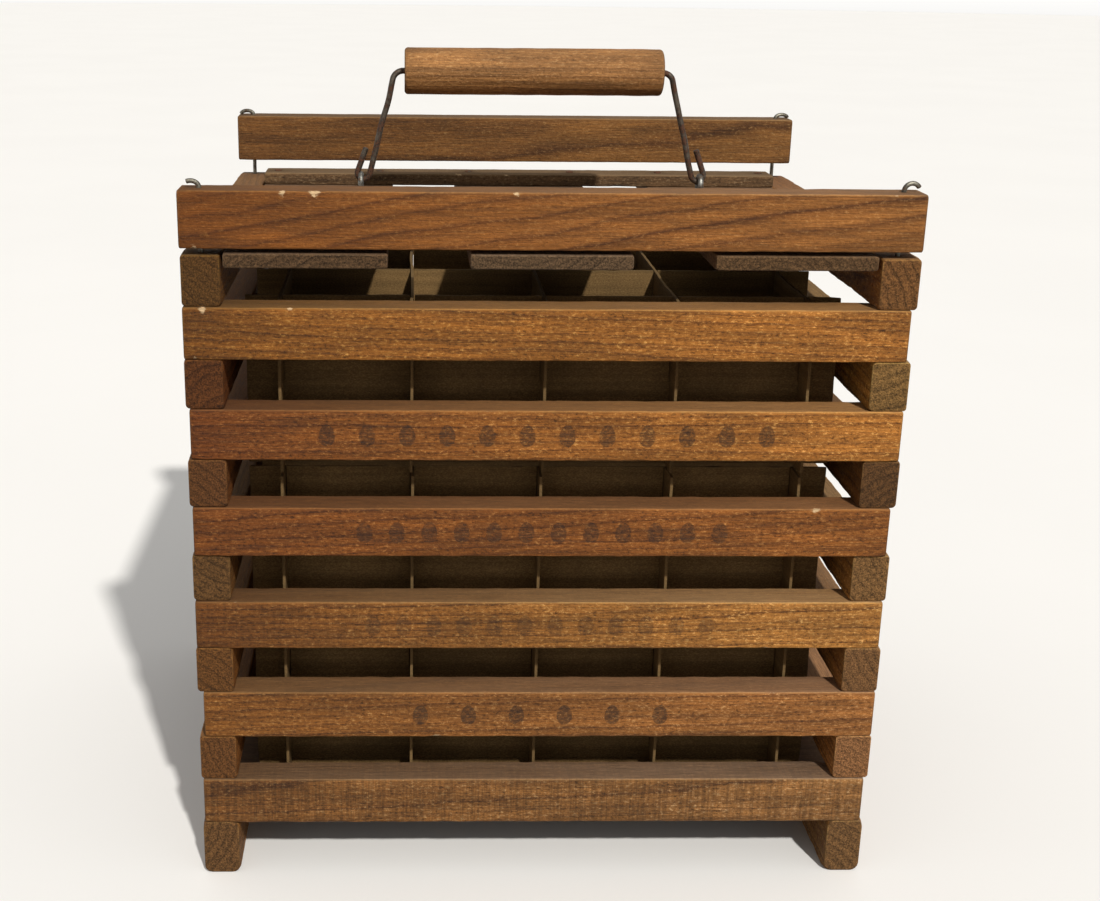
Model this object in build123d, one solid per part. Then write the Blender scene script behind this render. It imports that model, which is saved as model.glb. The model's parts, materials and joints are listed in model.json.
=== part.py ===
from build123d import *
import os

# Slatted wooden egg carrier.
# Slats are stacked log-cabin fashion on four wire rods, one through every corner.
# A loose top rail at the front and one at the back slide on the rods under bent-over
# hooks, the back pair standing higher, and hold down a lid of three boards. A wire bail
# with a turned wooden grip hangs in two screw eyes on the lid. Inside stand three layers
# of slotted egg filler.
# Millimetres. X across the front, front face towards -Y, Z up, origin on the floor
# under the middle of the crate.

# ---- driving dimensions: the stack of slats ----
WIDTH = 305.0                # along X, over the front slats
DEPTH = 252.0                # along Y, over the front and back slats
SLAT_THICK = 16.4            # all slats are cut from stock of this thickness
FRONT_SLAT_H = 22.3          # height of a front or back slat
SIDE_SLAT_H = 21.5           # height of a left or right slat
FOOT_H = 26.6                # height of the rail the crate stands on
TOP_RAIL_H = 23.8            # height of the loose rails on top
LAYERS = 6                   # pairs of front/back slats below the top rails
EDGE_R = 0.8                 # worn long edges
END_INSET = 0.4              # side slats end this far inside the front faces

# ---- corner rods ----
ROD_R = 1.0
ROD_CLEARANCE = 0.08         # radial, in every drilled slat
HOOK_R = 3.4                 # centre line of the half-round hook
ROD_FOOT = 8.0               # bent-over length under the foot rail
ROD_FOOT_Z = 1.7             # height of that bent-over length
ROD_BEND_R = 2.2
RECESS = (3.6, 13.0, 3.4)    # pocket in the underside of the foot rail, X Y Z

# ---- loose top rails ----
BACK_RODS_RISE = 5.8         # the back rods, and so their rail, stand this much higher
FRONT_RAIL_LIFT = 2.7        # height of the front rail above the side slats
HOOK_GAP = 0.3               # left between a rail pushed right up and its hooks

# ---- lid ----
BOARD_W = 67.5
BOARD_T = 6.2
BOARD_PITCH = 101.2          # from board to board across the lid
BOARD_LENGTH = 251.2
LID_TOP_STANDS = 0.9         # board tops above the tops of the side slats
CLEAT_W = 19.5
CLEAT_Y = (-94.0, -7.1, 79.7) # middles of the evenly spaced cleats, front to back
CLEAT_GAP = 0.9              # left at each end of a cleat

# ---- bail and grip ----
WIRE_R = 1.4
GRIP_R = 10.85
GRIP_LENGTH = 122.0
GRIP_END_R = 1.6             # eased ends
GRIP_Z = 354.3
GRIP_BORE_CLEARANCE = 0.08
BAIL_AXIS_Z = 303.0          # the hinge line, through the bottom of both hooks
SHOULDER_X = 65.4            # where the wire turns down beside the grip
HOOK_INNER_X = 78.4          # the hook's two lower corners and its tip
HOOK_OUTER_X = 87.0
TIP = (79.4, 318.0)
SHOULDER_R = 5.0
HOOK_RADII = (4.0, 3.2)
EYE_X = 81.9
EYE_R = 3.9                  # ring centre line
EYE_WIRE_R = 1.3
EYE_PLAY = 0.05              # between the wire and the top of the ring
EYE_SHANK_COVER = 0.6        # wood left under the end of the shank

# ---- nails ----
NAIL_R = 0.8
NAIL_HEAD_R = 2.0
NAIL_HEAD_T = 0.6
NAIL_LENGTH = 11.4
BOTTOM_NAIL_LENGTH = 24.0
NAIL_CLEARANCE = 0.02
LID_NAIL_OFFSET = 27.0       # either side of a board's middle
BOTTOM_NAIL_OFFSET = 20.0

# ---- bottom boards ----
BOTTOM_INSET = 1.0           # board ends inside the outer faces
BOTTOM_PITCH = 72.4

# ---- egg filler ----
CELL = 57.15                 # 2 1/4 in cells
CELLS_X = 4
CELLS_Y = 3
FILLER_LAYERS = 3
PANEL_H = 76.2               # 3 in tall layers
PANEL_T = 1.2
FLAT_T = 1.7
STUB = 15.5                  # panel ends beyond the outer cells
SLOT_CLEARANCE = 0.15
FILLER_FRONT_GAP = 2.0       # stubs stand this far behind the front slats
FLAT_MARGIN = 1.0

# ---- derived places ----
PITCH_Z = FRONT_SLAT_H + SIDE_SLAT_H
STACK_TOP = FOOT_H + LAYERS * PITCH_Z
FRONT_Y = -DEPTH / 2 + SLAT_THICK / 2
SIDE_X = WIDTH / 2 - SLAT_THICK / 2
INNER_X = WIDTH / 2 - SLAT_THICK
INNER_Y = DEPTH / 2 - SLAT_THICK
FRONT_RAIL_Z = STACK_TOP + FRONT_RAIL_LIFT
BACK_RAIL_Z = FRONT_RAIL_Z + BACK_RODS_RISE
FRONT_HOOK_Z = FRONT_RAIL_Z + TOP_RAIL_H + HOOK_GAP
BACK_HOOK_Z = FRONT_HOOK_Z + BACK_RODS_RISE
LID_TOP = STACK_TOP + LID_TOP_STANDS
CLEAT_TOP = LID_TOP + BOARD_T
CLEAT_LENGTH = 2 * (INNER_X - CLEAT_GAP)
EYE_Z = BAIL_AXIS_Z - (EYE_R - EYE_WIRE_R - WIRE_R - EYE_PLAY)
BOTTOM_TOP = FOOT_H + BOARD_T
FILLER_Y0 = -INNER_Y + FILLER_FRONT_GAP + STUB
FILLER_PITCH_Z = PANEL_H + FLAT_T

parts = {}


def rounded_bar(length, thickness, height, along):
    """A bar with worn long edges, centred on the origin, lying along X or Y."""
    plane = Plane.YZ if along == "X" else Plane.XZ
    section = plane * RectangleRounded(thickness, height, EDGE_R)
    return extrude(section, length / 2, both=True)


def drill(bar, spots, radius):
    """Bore a bar right through, along Z, at each (x, y)."""
    for x, y in spots:
        bar -= Pos(x, y, 0) * Cylinder(radius, 4 * TOP_RAIL_H)
    return bar


def front_bar(height):
    spots = [(-SIDE_X, 0), (SIDE_X, 0)]
    return drill(rounded_bar(WIDTH, SLAT_THICK, height, "X"), spots, ROD_R + ROD_CLEARANCE)


def side_bar(height):
    spots = [(0, FRONT_Y), (0, -FRONT_Y)]
    bar = rounded_bar(DEPTH - 2 * END_INSET, SLAT_THICK, height, "Y")
    return drill(bar, spots, ROD_R + ROD_CLEARANCE)


def foot_rail():
    """The lowest side rail, with a pocket under each end for the turned-in rod."""
    rail = side_bar(FOOT_H)
    for end in (-1, 1):
        y = end * (abs(FRONT_Y) - RECESS[1] / 2 + RECESS[0] / 2)
        rail -= Pos(0, y, RECESS[2] / 2 - FOOT_H / 2) * Box(*RECESS)
    return rail


def stack_of_slats():
    """Front, back, left and right slats, layer upon layer, and the two loose top rails."""
    for side, name in ((-1, "left"), (1, "right")):
        parts[f"{name}_foot_rail"] = Pos(side * SIDE_X, 0, FOOT_H / 2) * foot_rail()
    for layer in range(LAYERS):
        base = FOOT_H + layer * PITCH_Z
        for side, name in ((1, "front"), (-1, "back")):
            place = Pos(0, side * FRONT_Y, base + FRONT_SLAT_H / 2)
            parts[f"{name}_slat_{layer + 1}"] = place * front_bar(FRONT_SLAT_H)
        for side, name in ((-1, "left"), (1, "right")):
            place = Pos(side * SIDE_X, 0, base + FRONT_SLAT_H + SIDE_SLAT_H / 2)
            parts[f"{name}_slat_{layer + 1}"] = place * side_bar(SIDE_SLAT_H)
    for name, y, z in (("front", FRONT_Y, FRONT_RAIL_Z), ("back", -FRONT_Y, BACK_RAIL_Z)):
        parts[f"{name}_top_rail"] = Pos(0, y, z + TOP_RAIL_H / 2) * front_bar(TOP_RAIL_H)


def wire(path, start, direction, radius):
    """A round wire swept along a smooth path."""
    return sweep(Plane(start, z_dir=direction) * Circle(radius), path=path)


def corner_rod(side_x, side_y):
    """A rod up through one corner: turned in under the foot rail, hooked over outwards on top."""
    x = side_x * SIDE_X
    y = side_y * abs(FRONT_Y)
    top = FRONT_HOOK_Z if side_y < 0 else BACK_HOOK_Z
    start = (x, y - side_y * ROD_FOOT, ROD_FOOT_Z)
    foot = FilletPolyline(start, (x, y, ROD_FOOT_Z), (x, y, top), radius=ROD_BEND_R)
    over = ThreePointArc(
        (x, y, top),
        (x + side_x * HOOK_R, y, top + HOOK_R),
        (x + side_x * 2 * HOOK_R, y, top),
    )
    return wire(foot + over, start, (0, side_y, 0), ROD_R)


def corner_rods():
    for side_y, end in ((-1, "front"), (1, "back")):
        for side_x, side in ((-1, "left"), (1, "right")):
            parts[f"{end}_{side}_rod"] = corner_rod(side_x, side_y)


def nail(length, clearance=0.0):
    """A flat-headed nail hanging down from the origin, its head flush with Z = 0."""
    shank = Pos(0, 0, -length / 2) * Cylinder(NAIL_R + clearance, length)
    head = Pos(0, 0, -NAIL_HEAD_T / 2) * Cylinder(NAIL_HEAD_R + clearance, NAIL_HEAD_T)
    return shank + head


def nail_group(name, spots, length, nailed):
    """One node of nails at (x, y, z), with a hole for each in every part it passes through."""
    parts[name] = Compound([Pos(*spot) * nail(length) for spot in spots])
    holes = [Pos(*spot) * nail(length, NAIL_CLEARANCE) for spot in spots]
    for node in nailed:
        parts[node] -= holes


def lid():
    """Three boards front to back, joined by three cleats across their tops."""
    board_names = ["lid_board_left", "lid_board_middle", "lid_board_right"]
    cleat_names = ["lid_cleat_front", "lid_cleat_middle", "lid_cleat_back"]
    board_x = [(i - 1) * BOARD_PITCH for i in range(3)]
    for name, x in zip(board_names, board_x):
        parts[name] = Pos(x, 0, LID_TOP - BOARD_T / 2) * Box(BOARD_W, BOARD_LENGTH, BOARD_T)
    for name, y in zip(cleat_names, CLEAT_Y):
        parts[name] = Pos(0, y, LID_TOP + BOARD_T / 2) * Box(CLEAT_LENGTH, CLEAT_W, BOARD_T)
    spots = [
        (x + side * LID_NAIL_OFFSET, y, CLEAT_TOP)
        for x in board_x
        for side in (-1, 1)
        for y in CLEAT_Y
    ]
    nail_group("lid_nails", spots, NAIL_LENGTH, board_names + cleat_names)


def screw_eye(x):
    """A wire ring standing across the crate on a shank that ends inside the lid board."""
    ring = Pos(x, 0, EYE_Z) * Rot(0, 90, 0) * Torus(EYE_R, EYE_WIRE_R)
    top = EYE_Z - EYE_R
    bottom = LID_TOP - BOARD_T + EYE_SHANK_COVER
    return ring + Pos(x, 0, (top + bottom) / 2) * Cylinder(EYE_WIRE_R, top - bottom)


def screw_eyes():
    for side, name, board in ((-1, "left", "lid_board_left"), (1, "right", "lid_board_right")):
        parts[f"{name}_screw_eye"] = screw_eye(side * EYE_X)
        low = LID_TOP - BOARD_T + EYE_SHANK_COVER - NAIL_CLEARANCE
        height = CLEAT_TOP - low
        hole = Cylinder(EYE_WIRE_R + NAIL_CLEARANCE, height)
        for node in (board, "lid_cleat_middle"):
            parts[node] -= Pos(side * EYE_X, 0, low + height / 2) * hole


def bail_points(side):
    """Corners of the bail on one side, from the shoulder beside the grip to the hook's tip."""
    corners = [
        (SHOULDER_X, GRIP_Z),
        (HOOK_INNER_X, BAIL_AXIS_Z),
        (HOOK_OUTER_X, BAIL_AXIS_Z),
        TIP,
    ]
    return [(side * x, 0, z) for x, z in corners]


def bail_wire():
    """One bent wire, from hook to hook, straight through the grip."""
    left = bail_points(-1)
    right = bail_points(1)
    points = left[::-1] + right
    radii = [HOOK_RADII[1], HOOK_RADII[0], SHOULDER_R]
    path = FilletPolyline(*points, radius=radii + radii[::-1])
    start = Vector(*points[0])
    return wire(path, start, Vector(*points[1]) - start, WIRE_R)


def grip():
    """A plain turned handle, bored for the wire, with eased ends."""
    blank = Cylinder(GRIP_R, GRIP_LENGTH)
    ends = blank.edges().filter_by(GeomType.CIRCLE)
    bored = fillet(ends, GRIP_END_R) - Cylinder(WIRE_R + GRIP_BORE_CLEARANCE, 2 * GRIP_LENGTH)
    return Pos(0, 0, GRIP_Z) * Rot(0, 90, 0) * bored


def bottom():
    """Three boards across the foot rails, nailed down at both ends."""
    names = ["bottom_board_front", "bottom_board_middle", "bottom_board_back"]
    board = Box(WIDTH - 2 * BOTTOM_INSET, BOARD_W, BOARD_T)
    board_y = [(i - 1) * BOTTOM_PITCH for i in range(3)]
    for name, y in zip(names, board_y):
        parts[name] = Pos(0, y, FOOT_H + BOARD_T / 2) * board
    spots = [
        (side * SIDE_X, y + offset, BOTTOM_TOP)
        for side in (-1, 1)
        for y in board_y
        for offset in (-BOTTOM_NAIL_OFFSET, BOTTOM_NAIL_OFFSET)
    ]
    rails = ["left_foot_rail", "right_foot_rail"]
    nail_group("bottom_nails", spots, BOTTOM_NAIL_LENGTH, names + rails)


def slotted_panel(size, centre, spots, along, open_end):
    """A strip of board on edge, slotted halfway from its top (+1) or bottom (-1) edge."""
    x, y, z = centre
    slot = PANEL_T + 2 * SLOT_CLEARANCE
    depth = PANEL_H / 2 + SLOT_CLEARANCE
    height = z + open_end * (PANEL_H - depth) / 2
    panel = Pos(*centre) * Box(*size)
    for spot in spots:
        place = Pos(spot, y, height) if along == "X" else Pos(x, spot, height)
        panel -= place * Box(slot, slot, depth)
    return panel


def filler():
    """Layers of interlocked long and cross panels, each standing on a flat sheet."""
    cross_x = [(i - CELLS_X / 2) * CELL for i in range(CELLS_X + 1)]
    long_y = [FILLER_Y0 + i * CELL for i in range(CELLS_Y + 1)]
    middle_y = (long_y[0] + long_y[-1]) / 2
    long_size = (CELLS_X * CELL + 2 * STUB, PANEL_T, PANEL_H)
    cross_size = (PANEL_T, CELLS_Y * CELL + 2 * STUB, PANEL_H)
    flat_size = (CELLS_X * CELL + 2 * FLAT_MARGIN, CELLS_Y * CELL + 2 * FLAT_MARGIN, FLAT_T)
    for layer in range(FILLER_LAYERS):
        base = BOTTOM_TOP + layer * FILLER_PITCH_Z
        z = base + FLAT_T + PANEL_H / 2
        long_panels = [slotted_panel(long_size, (0, y, z), cross_x, "X", 1) for y in long_y]
        cross_panels = [
            slotted_panel(cross_size, (x, middle_y, z), long_y, "Y", -1) for x in cross_x
        ]
        parts[f"filler_{layer + 1}_long_panels"] = Compound(long_panels)
        parts[f"filler_{layer + 1}_cross_panels"] = Compound(cross_panels)
        parts[f"filler_{layer + 1}_flat"] = Pos(0, middle_y, base + FLAT_T / 2) * Box(*flat_size)


stack_of_slats()
corner_rods()
lid()
screw_eyes()
parts["bail_wire"] = bail_wire()
parts["grip"] = grip()
bottom()
filler()

os.makedirs("parts", exist_ok=True)
for node, shape in parts.items():
    export_step(shape, f"parts/{node}.step")
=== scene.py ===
import json
import math

import bmesh
import bpy
import numpy as np
from mathutils import Matrix, Vector


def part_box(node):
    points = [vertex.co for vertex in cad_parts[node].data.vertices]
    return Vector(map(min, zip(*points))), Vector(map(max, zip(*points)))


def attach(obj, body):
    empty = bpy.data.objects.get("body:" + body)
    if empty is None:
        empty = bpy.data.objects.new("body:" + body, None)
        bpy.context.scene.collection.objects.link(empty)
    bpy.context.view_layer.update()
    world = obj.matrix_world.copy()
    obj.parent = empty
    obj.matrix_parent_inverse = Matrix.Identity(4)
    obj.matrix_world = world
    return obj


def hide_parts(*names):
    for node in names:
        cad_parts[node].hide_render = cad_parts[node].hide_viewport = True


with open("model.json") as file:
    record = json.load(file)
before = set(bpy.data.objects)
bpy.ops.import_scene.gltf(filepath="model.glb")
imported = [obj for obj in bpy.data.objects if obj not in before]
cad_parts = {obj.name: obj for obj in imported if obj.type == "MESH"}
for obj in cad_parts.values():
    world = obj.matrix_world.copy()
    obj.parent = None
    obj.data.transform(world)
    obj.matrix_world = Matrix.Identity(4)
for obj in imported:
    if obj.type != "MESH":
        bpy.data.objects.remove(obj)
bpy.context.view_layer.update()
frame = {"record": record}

# Looks of a slatted wooden egg carrier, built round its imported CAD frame.
# Shapes are worked out in millimetres in the CAD frame and stored in metres.
# Every piece stands for the CAD node or nodes of the same place and rides on their body.

MM = 0.001
TAU = 2 * math.pi
NODE_BODY = {node: body for body, nodes in frame["record"]["behaviour"]["bodies"].items() for node in nodes}
NODE_SLOT = {part["node"]: part["material_slot"] for part in frame["record"]["subparts"]}


# ---- shader nodes
def screen(r, g, b):
    """Linear colour from 0-255 screen values."""
    c = np.array([r, g, b]) / 255.0
    linear = np.where(c <= 0.04045, c / 12.92, ((c + 0.055) / 1.055) ** 2.4)
    return (*linear.tolist(), 1.0)


class Nodes:
    """A node tree under construction; most methods add a node and return its output."""

    def __init__(self, tree):
        self.tree = tree

    def plug(self, socket, value):
        if isinstance(value, bpy.types.NodeSocket):
            self.tree.links.new(value, socket)
        elif socket.type == "VECTOR":
            socket.default_value = value[:3]
        else:
            socket.default_value = value

    def node(self, kind, inputs=(), **settings):
        made = self.tree.nodes.new("ShaderNode" + kind)
        for key, value in settings.items():
            setattr(made, key, value)
        for key, value in dict(inputs).items():
            self.plug(made.inputs[key], value)
        return made

    def math(self, operation, *values):
        return self.node("Math", enumerate(values), operation=operation).outputs[0]

    def times(self, product, *values):
        for value in values:
            product = self.math("MULTIPLY", product, value)
        return product

    def plus(self, a, b):
        return self.math("ADD", a, b)

    def linear(self, value, slope, start):
        return self.math("MULTIPLY_ADD", value, slope, start)

    def about(self, value):
        """A 0 to 1 value moved to -0.5 to 0.5."""
        return self.math("SUBTRACT", value, 0.5)

    def attribute(self, name, output="Vector"):
        return self.node("Attribute", attribute_name=name).outputs[output]

    def split(self, vector):
        return self.node("SeparateXYZ", {0: vector}).outputs[:]

    def join(self, *parts):
        return self.node("CombineXYZ", enumerate(parts)).outputs[0]

    def stretch(self, vector, scales):
        return self.node("VectorMath", {0: vector, 1: scales}, operation="MULTIPLY").outputs[0]

    def noise(self, vector, scale=1.0, detail=3.0, roughness=0.55):
        inputs = {"Vector": vector, "Scale": scale, "Detail": detail, "Roughness": roughness}
        return self.node("TexNoise", inputs).outputs[0]

    def fade(self, value, low, high, out_low=0.0, out_high=1.0):
        """A smooth step from out_low at low to out_high at high, either way round."""
        if low > high:
            low, high, out_low, out_high = high, low, out_high, out_low
        inputs = {0: value, 1: low, 2: high, 3: out_low, 4: out_high}
        return self.node("MapRange", inputs, interpolation_type="SMOOTHSTEP").outputs[0]

    def mix(self, share, a, b, blend="MIX"):
        inputs = {0: share, 6: a, 7: b}
        return self.node("Mix", inputs, data_type="RGBA", blend_type=blend).outputs[2]

    def scaled(self, colour, factor):
        """A colour times a number."""
        inputs = {0: colour, "Scale": factor}
        return self.node("VectorMath", inputs, operation="SCALE").outputs[0]

    def ramp(self, value, stops):
        made = self.node("ValToRGB", {0: value})
        elements = made.color_ramp.elements
        while len(elements) < len(stops):
            elements.new(0.5)
        for element, (position, colour) in zip(elements, stops):
            element.position = position
            element.color = colour
        return made.outputs[0]

    def grey(self, value, stops):
        """A ramp from number to number."""
        return self.ramp(value, [(position, (v, v, v, 1.0)) for position, v in stops])

    def median(self, vector):
        a, b, c = self.split(vector)
        low = self.math("MINIMUM", a, b)
        high = self.math("MAXIMUM", a, b)
        return self.math("MAXIMUM", low, self.math("MINIMUM", high, c))


class Shader(Nodes):
    """A Principled material under construction."""

    def __init__(self, name):
        self.material = bpy.data.materials.new(name)
        self.material.use_nodes = True
        super().__init__(self.material.node_tree)
        self.surface = self.tree.nodes["Principled BSDF"]

    def done(self, colour, roughness, height, distance, **constants):
        bump = self.node("Bump", {"Height": height, "Distance": distance * MM, "Strength": 1.0})
        self.plug(self.surface.inputs["Base Color"], colour)
        self.plug(self.surface.inputs["Roughness"], roughness)
        self.plug(self.surface.inputs["Normal"], bump.outputs[0])
        for key, value in constants.items():
            self.plug(self.surface.inputs[key.replace("_", " ")], value)
        return self.material


# ---- materials
FRESH_WOOD = screen(206, 174, 132)
INK = screen(38, 28, 22)
EGG_HALF_WIDTH = 3.4
EGG_HALF_HEIGHT = 4.8
EGG_TAPER = 0.13
# Darkness across one year ring, from the pith side outwards.
RING_PROFILE = [(0.0, 0.5), (0.14, 0.05), (0.45, 0.1), (0.78, 0.5), (0.9, 1.0), (1.0, 0.5)]


def ring_pattern(s, grain):
    """0 in pale early wood to 1 in a dark late-wood line; grain is in ring widths from the pith."""
    u, p, q = s.split(grain)
    slow = s.join(s.times(u, 0.006), s.times(p, 0.2), s.times(q, 0.2))
    drift = s.times(s.about(s.noise(slow, 1.0, 2.0)), 1.7)
    quick = s.join(s.times(u, 0.04), p, q)
    shiver = s.times(s.about(s.noise(quick, 1.0, 3.0)), 0.5)
    away = s.math("SQRT", s.plus(s.times(p, p), s.times(q, q)))
    radius = s.plus(s.plus(away, drift), shiver)
    line = s.grey(s.math("FRACT", radius), RING_PROFILE)
    year = s.node("TexWhiteNoise", {"W": s.math("FLOOR", radius)}, noise_dimensions="1D").outputs[0]
    return s.times(line, s.linear(year, 0.65, 0.45))


def egg_row(s, place, face_y, mark):
    """Worn ink: a row of plain egg shapes on a front face. mark is (pitch, half length, strength)."""
    x, _, z = s.split(place)
    pitch, reach, strength = s.split(mark)
    turn = s.math("FRACT", s.math("DIVIDE", x, s.math("MAXIMUM", pitch, 1.0)))
    across = s.times(s.about(turn), pitch)
    high = s.math("DIVIDE", z, EGG_HALF_HEIGHT)
    wide = s.linear(high, -EGG_TAPER * EGG_HALF_WIDTH, EGG_HALF_WIDTH)
    side = s.math("DIVIDE", across, wide)
    out = s.math("SQRT", s.plus(s.times(side, side), s.times(high, high)))
    inside = s.math("LESS_THAN", s.math("ABSOLUTE", x), reach)
    front = s.fade(face_y, -0.7, -0.95)
    patchy = s.fade(s.noise(s.stretch(place, (0.7, 1.3, 1.3)), 1.0, 4.0, 0.7), 0.34, 0.56, 0.25, 1.0)
    return s.times(s.fade(out, 1.06, 0.96), inside, front, patchy, strength)


def wood_fields(s):
    """What the layers of a wood material share: attributes, rings and noises."""
    grain = s.attribute("grain")
    place = s.attribute("place")
    _, across, height = s.split(place)
    mixed = s.join(s.split(grain)[0], across, height)
    return {
        "place": place,
        "mixed": mixed,
        "height": height,
        "depths": s.attribute("depths"),
        "normal": s.split(s.node("TexCoord").outputs["Normal"]),
        "rings": ring_pattern(s, grain),
        "fibre": s.noise(s.stretch(mixed, (0.07, 1.9, 1.9)), 1.0, 4.0, 0.65),
        "patch": s.noise(s.stretch(mixed, (0.018, 0.16, 0.16)), 1.0, 3.0, 0.5),
        "speck": s.noise(s.stretch(mixed, (0.5, 0.95, 0.95)), 1.0, 5.0, 0.8),
    }


def side_grain(s, f, early, late, pale):
    """Rings, flecks, pores, fibres and saw marks along a bar."""
    fuzz = s.attribute("fuzz", "Fac")
    sawn = s.attribute("sawn", "Fac")
    fleck = s.fade(f["speck"], 0.53, 0.66)
    pore = s.fade(f["speck"], 0.48, 0.35)
    kerf = s.noise(s.stretch(f["mixed"], (1.1, 0.05, 0.05)), 1.0, 2.0, 0.6)
    colour = s.mix(s.times(f["rings"], s.linear(fuzz, -0.14, 0.9)), early, late)
    colour = s.mix(s.times(fleck, fuzz, 0.8), colour, pale)
    shade = s.times(
        s.fade(f["fibre"], 0.28, 0.72, 0.68, 1.3),
        s.fade(f["patch"], 0.3, 0.7, 0.76, 1.18),
        s.linear(pore, s.times(fuzz, -0.7), 1.0),
        s.linear(sawn, s.fade(kerf, 0.35, 0.65, -0.26, 0.14), 1.0),
    )
    return s.scaled(colour, shade)


def end_grain(s, f, end):
    """Where a place is end grain, the colour there, and its crumbs."""
    cut = s.fade(s.split(f["depths"])[0], 0.75, 0.2)
    crumb = s.noise(s.stretch(f["mixed"], (0.2, 1.3, 1.3)), 1.0, 5.0, 0.75)
    vein = s.noise(s.stretch(f["mixed"], (0.05, 0.2, 0.42)), 1.0, 3.0, 0.6)
    crack = s.fade(s.math("ABSOLUTE", s.about(vein)), 0.022, 0.0)
    shade = s.times(
        s.fade(crumb, 0.36, 0.64, 0.5, 1.75),
        s.linear(f["rings"], -0.62, 1.15),
        s.linear(crack, -0.55, 1.0),
    )
    return cut, s.scaled(end, shade), crumb


def pale_edges(s, f, face, pale):
    """Long edges paler in spots, the upper ones most."""
    rim = s.linear(s.about(f["speck"]), 3.2, s.median(f["depths"]))
    worn = s.times(s.fade(rim, 0.9, 0.0), s.fade(f["height"], -4.0, 8.0, 0.15, 0.5))
    return s.mix(worn, face, pale)


def chipped(s, f, face):
    """Fresh wood where a nick broke through the darkened skin."""
    torn = s.fade(s.linear(s.about(f["speck"]), 1.4, s.attribute("chip", "Fac")), 0.4, 0.6)
    return s.mix(torn, face, s.scaled(FRESH_WOOD, s.fade(f["fibre"], 0.3, 0.7, 0.75, 1.25)))


def wood(name, early, late, pale, dust_and_sheen_colour, end, dust_and_sheen_share, marked=False, gloss=0.55):
    """Softwood with year rings, fibres, flecks, pale edges, rough end grain, and upper faces grey with dust
    and a painted sheen.
    """
    s = Shader(name)
    early, late, pale, dust_and_sheen_colour, end = (screen(*c) for c in (early, late, pale, dust_and_sheen_colour, end))
    f = wood_fields(s)
    fibre, patch, normal = f["fibre"], f["patch"], f["normal"]
    face = side_grain(s, f, early, late, pale)
    # Painted sheen: upward faces mix towards a grey-tan that stands for real dust and for the pale sky light
    # on the tops.
    dust_and_sheen = s.times(s.fade(normal[2], 0.45, 0.9), s.fade(patch, 0.2, 0.75, dust_and_sheen_share * 0.7, dust_and_sheen_share))
    face = s.mix(dust_and_sheen, face, s.scaled(dust_and_sheen_colour, s.fade(fibre, 0.25, 0.75, 0.72, 1.25)))
    cut, end_face, crumb = end_grain(s, f, end)
    face = s.mix(cut, face, end_face)
    face = pale_edges(s, f, face, pale)
    # The tint multiplies in each bar's tone and, on the front bars, back rail and side bars, painted light:
    # ends darker on the left, lighter on the right.
    face = s.mix(1.0, face, s.attribute("tint"), "MULTIPLY")
    face = chipped(s, f, face)
    if marked:
        face = s.mix(egg_row(s, f["place"], normal[1], s.attribute("mark")), face, INK)
    relief = s.linear(fibre, 0.9, s.times(f["rings"], 0.28))
    relief = s.plus(relief, s.times(f["speck"], 1.7))
    relief = s.plus(relief, s.times(crumb, cut, 2.4))
    rough = s.fade(fibre, 0.2, 0.8, gloss, gloss + 0.22)
    rough = s.plus(rough, s.times(s.math("MAXIMUM", cut, dust_and_sheen), 0.2))
    return s.done(face, rough, relief, 0.34, Specular_IOR_Level=0.28)


def metal(name, bright, dark, rust, rusty, roughness):
    """Wire and nails: dull metal with dark oxide and specks of rust."""
    s = Shader(name)
    bright, dark, rust = (screen(*c) for c in (bright, dark, rust))
    where = s.node("TexCoord").outputs["Object"]
    cloud = s.noise(where, 260.0, 4.0, 0.6)
    fine = s.noise(where, 1500.0, 3.0, 0.6)
    colour = s.mix(s.fade(cloud, 0.35, 0.65), bright, dark)
    corroded = s.fade(s.linear(fine, 0.5, s.times(cloud, 0.6)), 0.62 - rusty, 0.7 - rusty)
    colour = s.mix(corroded, colour, rust)
    colour = s.scaled(colour, s.fade(fine, 0.25, 0.75, 0.75, 1.25))
    s.plug(s.surface.inputs["Metallic"], s.linear(corroded, -0.75, 0.92))
    rough = s.plus(s.times(corroded, 0.3), s.fade(fine, 0.3, 0.7, roughness, roughness + 0.15))
    return s.done(colour, rough, s.plus(fine, cloud), 0.12)


def cardboard():
    """Grey-brown chipboard: fibres, rolled streaks, lighter furred edges and old stains."""
    s = Shader("filler_board")
    place = s.attribute("place")
    edge = s.median(s.attribute("depths"))
    fibre = s.noise(s.stretch(place, (1.1, 1.1, 2.4)), 1.0, 4.0, 0.7)
    rolled = s.noise(s.stretch(place, (0.012, 1.0, 0.55)), 1.0, 3.0, 0.6)
    stain = s.noise(s.stretch(place, (0.03, 0.03, 0.03)), 1.0, 3.0, 0.5)
    pulp = [(0.28, screen(92, 70, 42)), (0.5, screen(122, 96, 60)), (0.72, screen(154, 126, 84))]
    shade = s.times(s.fade(rolled, 0.3, 0.7, 0.86, 1.12), s.fade(stain, 0.3, 0.7, 0.8, 1.1))
    colour = s.scaled(s.ramp(fibre, pulp), shade)
    frayed = s.times(s.fade(s.linear(fibre, 2.0, edge), 2.2, 0.9), 0.55)
    colour = s.mix(frayed, colour, screen(112, 92, 62))
    colour = s.mix(1.0, colour, s.attribute("tint"), "MULTIPLY")
    rough = s.fade(fibre, 0.2, 0.8, 0.82, 0.95)
    return s.done(colour, rough, s.linear(rolled, 0.5, fibre), 0.16, Specular_IOR_Level=0.2)


def floor_material():
    """Smooth pale board."""
    s = Shader("pale_floor")
    where = s.node("TexCoord").outputs["Object"]
    cloud = s.noise(where, 3.0, 4.0, 0.5)
    fine = s.noise(where, 400.0, 3.0, 0.6)
    colour = s.scaled(screen(243, 242, 240), s.fade(cloud, 0.3, 0.7, 0.985, 1.0))
    return s.done(colour, s.fade(fine, 0.3, 0.7, 0.6, 0.75), fine, 0.02, Specular_IOR_Level=0.2)
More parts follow.
